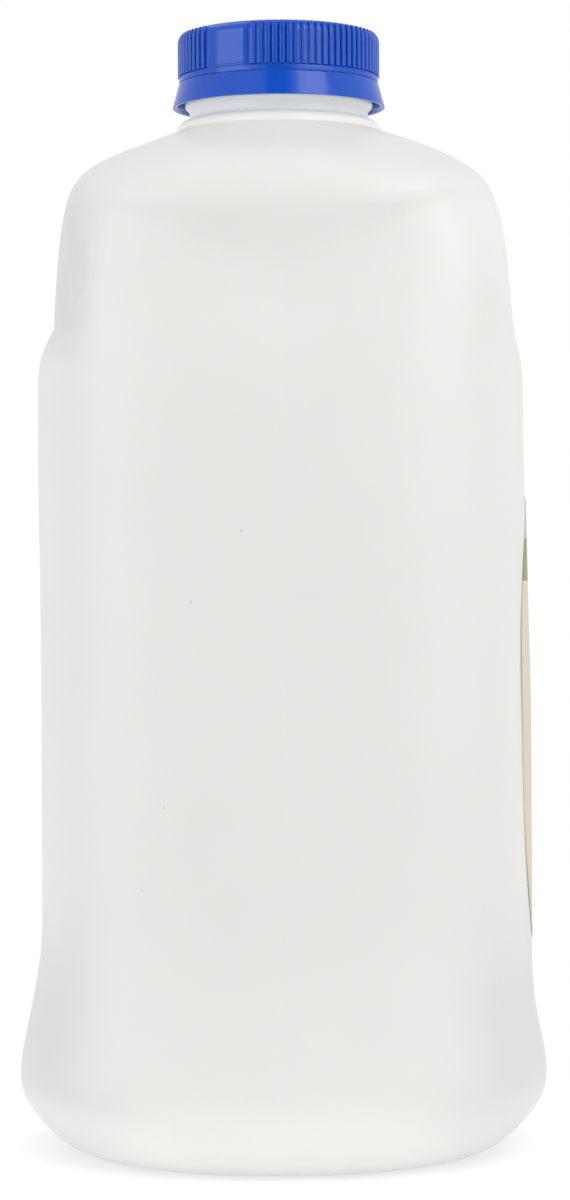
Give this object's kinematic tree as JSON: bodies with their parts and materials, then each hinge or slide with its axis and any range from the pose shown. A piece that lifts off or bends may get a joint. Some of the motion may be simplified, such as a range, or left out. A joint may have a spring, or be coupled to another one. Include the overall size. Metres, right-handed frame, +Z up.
{
  "type": "plastic juice jug with handle and screw cap",
  "caption": "Blow-moulded white plastic juice jug with a rear grip handle, flared foot, ribbed blue screw cap with tamper band, and a side label; holds and pours juice",
  "frame": {"origin": "centre of the bounding box's underside: the middle of the standing ring, on the surface the jug stands on", "axes": "+Z up along the neck's axis, -Y the plain front that the picture shows, +X the label side, +Y the handle side"},
  "size_m": [0.1064, 0.1128, 0.229],
  "materials": {
    "white_hdpe": "satin blow-moulded",
    "blue_cap": "satin moulded",
    "blue_band": "satin moulded",
    "label_film": "matte printed film"
  },
  "bodies": {
    "root": {"jug_body": "white_hdpe", "screw_cap": "blue_cap", "tamper_band": "blue_band", "side_label": "label_film"}
  },
  "joints": []
}
